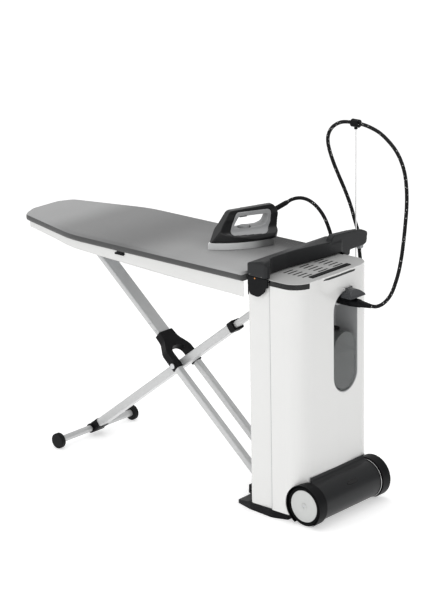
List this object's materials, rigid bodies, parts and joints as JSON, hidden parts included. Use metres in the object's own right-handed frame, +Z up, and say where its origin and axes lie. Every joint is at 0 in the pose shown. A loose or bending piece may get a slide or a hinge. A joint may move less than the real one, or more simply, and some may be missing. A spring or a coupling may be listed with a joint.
{
  "type": "steam generator iron",
  "caption": "Steam iron on a padded folding ironing board with crossed legs, its hose held by an upright rod, fed by a wheeled steam generator with a removable water tank.",
  "frame": {"origin": "on the centre plane, on the underside of the generator's base plate, which stands on the floor", "axes": "+Z up; +X from the board's nose towards the generator, along the board; -Y towards the side with the release lever"},
  "size_m": [1.5674, 0.563, 1.2966],
  "materials": {
    "white_shell": "glossy moulded",
    "grille_grey": "satin moulded",
    "strip_black": "piano gloss",
    "moulded_black": "fine moulded grain",
    "tyre_black": "satin rubber",
    "foot_rubber": "matt rubber",
    "hub_grey": "satin moulded",
    "bay_dark": "glossy smoked",
    "tank_clear": "clear polycarbonate",
    "cap_black": "matt",
    "flap_grey": "glossy moulded",
    "socket_grey": "matt",
    "boiler_steel": "brushed",
    "steel_zinc": "zinc plated",
    "frame_black": "satin paint",
    "leg_paint": "silver paint",
    "pipe_copper": "drawn tube",
    "pump_black": "matt",
    "board_green": "laminate with parts",
    "cover_silver": "silvered cotton cover on felt",
    "clip_grey": "satin",
    "sole_metal": "polished edge",
    "iron_black": "glossy moulded",
    "iron_grey": "satin moulded",
    "dial_grey": "satin moulded",
    "trigger_black": "glossy moulded",
    "hose_fabric": "black braid with white flecks"
  },
  "bodies": {
    "housing": {"base_plate": "moulded_black", "hinge_bracket": "frame_black", "leg_hinge_pin": "steel_zinc", "rear_column": "white_shell", "front_shell": "white_shell", "top_grille": "grille_grey", "control_strip": "strip_black", "axle_cover": "moulded_black", "wheel_axle": "steel_zinc", "tank_bay": "bay_dark", "steam_socket": "socket_grey", "boiler": "boiler_steel", "pump": "pump_black", "solenoid_valve": "pump_black", "circuit_board": "board_green", "chassis": "steel_zinc", "steam_pipe": "pipe_copper", "mains_inlet": "moulded_black", "steam_plug": "moulded_black", "hose_upper": "hose_fabric"},
    "power_switch": {"power_key": "strip_black"},
    "wheel_near": {"tyre_near": "tyre_black", "hub_near": "hub_grey"},
    "wheel_far": {"tyre_far": "tyre_black", "hub_far": "hub_grey"},
    "tank": {"water_tank": "tank_clear", "tank_cap": "cap_black"},
    "flap": {"socket_flap": "flap_grey"},
    "board": {"board_tray": "white_shell", "board_mesh": "steel_zinc", "board_pad": "cover_silver", "end_frame": "frame_black", "end_bridge": "moulded_black", "bridge_lobes": "moulded_black", "lift_posts": "steel_zinc", "hose_holder": "moulded_black", "hose_rod": "steel_zinc", "rod_clip": "moulded_black", "hose_clip": "clip_grey", "roller_rails": "steel_zinc", "hose_lower": "hose_fabric"},
    "lever": {"release_lever": "moulded_black"},
    "leg_a": {"leg_a_tubes": "leg_paint", "leg_a_fork": "moulded_black", "leg_a_upper": "leg_paint", "leg_a_roller": "moulded_black", "cross_pin": "steel_zinc"},
    "leg_b": {"leg_b_outer": "leg_paint", "leg_b_collar": "moulded_black", "foot_coupler": "moulded_black", "foot_tube": "leg_paint", "foot_caps": "foot_rubber"},
    "leg_b_top": {"leg_b_inner": "leg_paint", "leg_b_roller": "moulded_black"},
    "iron": {"iron_sole": "sole_metal", "iron_body": "iron_black", "iron_inset": "iron_grey", "iron_relief": "foot_rubber"},
    "dial": {"iron_dial": "dial_grey"},
    "trigger": {"iron_trigger": "trigger_black"}
  },
  "joints": [
    {"name": "board_height", "type": "slide", "parent": "housing", "child": "board", "axis": [0, 0, 1], "range_m": [0, 0.17], "deforming": ["hose_upper"]},
    {"name": "leg_a_hinge", "type": "hinge", "parent": "housing", "child": "leg_a", "pos_m": [-0.125, 0, 0.06], "axis": [0, 1, 0], "range_deg": [0, 12.3]},
    {"name": "leg_b_hinge", "type": "hinge", "parent": "leg_a", "child": "leg_b", "pos_m": [-0.51, 0, 0.386], "axis": [0, 1, 0], "range_deg": [-22.2, 0]},
    {"name": "leg_b_slide", "type": "slide", "parent": "leg_b", "child": "leg_b_top", "axis": [0.7946, 0, 0.6072], "range_m": [0, 0.046]},
    {"name": "iron_lift", "type": "slide", "parent": "board", "child": "iron", "axis": [0, 0, 1], "range_m": [0, 0.12], "deforming": ["hose_lower"]},
    {"name": "dial_turn", "type": "hinge", "parent": "iron", "child": "dial", "pos_m": [-0.267, 0.05334, 0.91], "axis": [0, 0, 1], "range_deg": [-130, 130]},
    {"name": "trigger_press", "type": "slide", "parent": "iron", "child": "trigger", "axis": [0, 0, 1], "range_m": [0, 0.0022], "stiffness_N_per_m": 700, "springref_m": -0.001},
    {"name": "wheel_near_spin", "type": "hinge", "parent": "housing", "child": "wheel_near", "pos_m": [0.195, -0.169, 0.0726], "axis": [0, 1, 0], "continuous": true},
    {"name": "wheel_far_spin", "type": "hinge", "parent": "housing", "child": "wheel_far", "pos_m": [0.195, 0.169, 0.0726], "axis": [0, 1, 0], "continuous": true},
    {"name": "tank_slide", "type": "slide", "parent": "housing", "child": "tank", "axis": [1, 0, 0], "range_m": [0, 0.12]},
    {"name": "flap_hinge", "type": "hinge", "parent": "housing", "child": "flap", "pos_m": [0.1915, 0.056, 0.783], "axis": [0, -1, 0], "range_deg": [0, 60]},
    {"name": "power_press", "type": "slide", "parent": "housing", "child": "power_switch", "axis": [0, 1, 0], "range_m": [0, 0.0016], "stiffness_N_per_m": 500, "springref_m": -0.001},
    {"name": "lever_lift", "type": "hinge", "parent": "board", "child": "lever", "pos_m": [-0.6205, -0.186, 0.814], "axis": [-1, 0, 0], "range_deg": [0, 12], "stiffness_Nm_per_rad": 0.1, "springref_deg": -5.73}
  ],
  "couplings": [
    {"joint": "leg_a_hinge", "follows": "board_height", "rad_per_m": 1.2619},
    {"joint": "leg_b_hinge", "follows": "board_height", "rad_per_m": -2.2697},
    {"joint": "leg_b_slide", "follows": "board_height", "ratio": 0.26763}
  ]
}
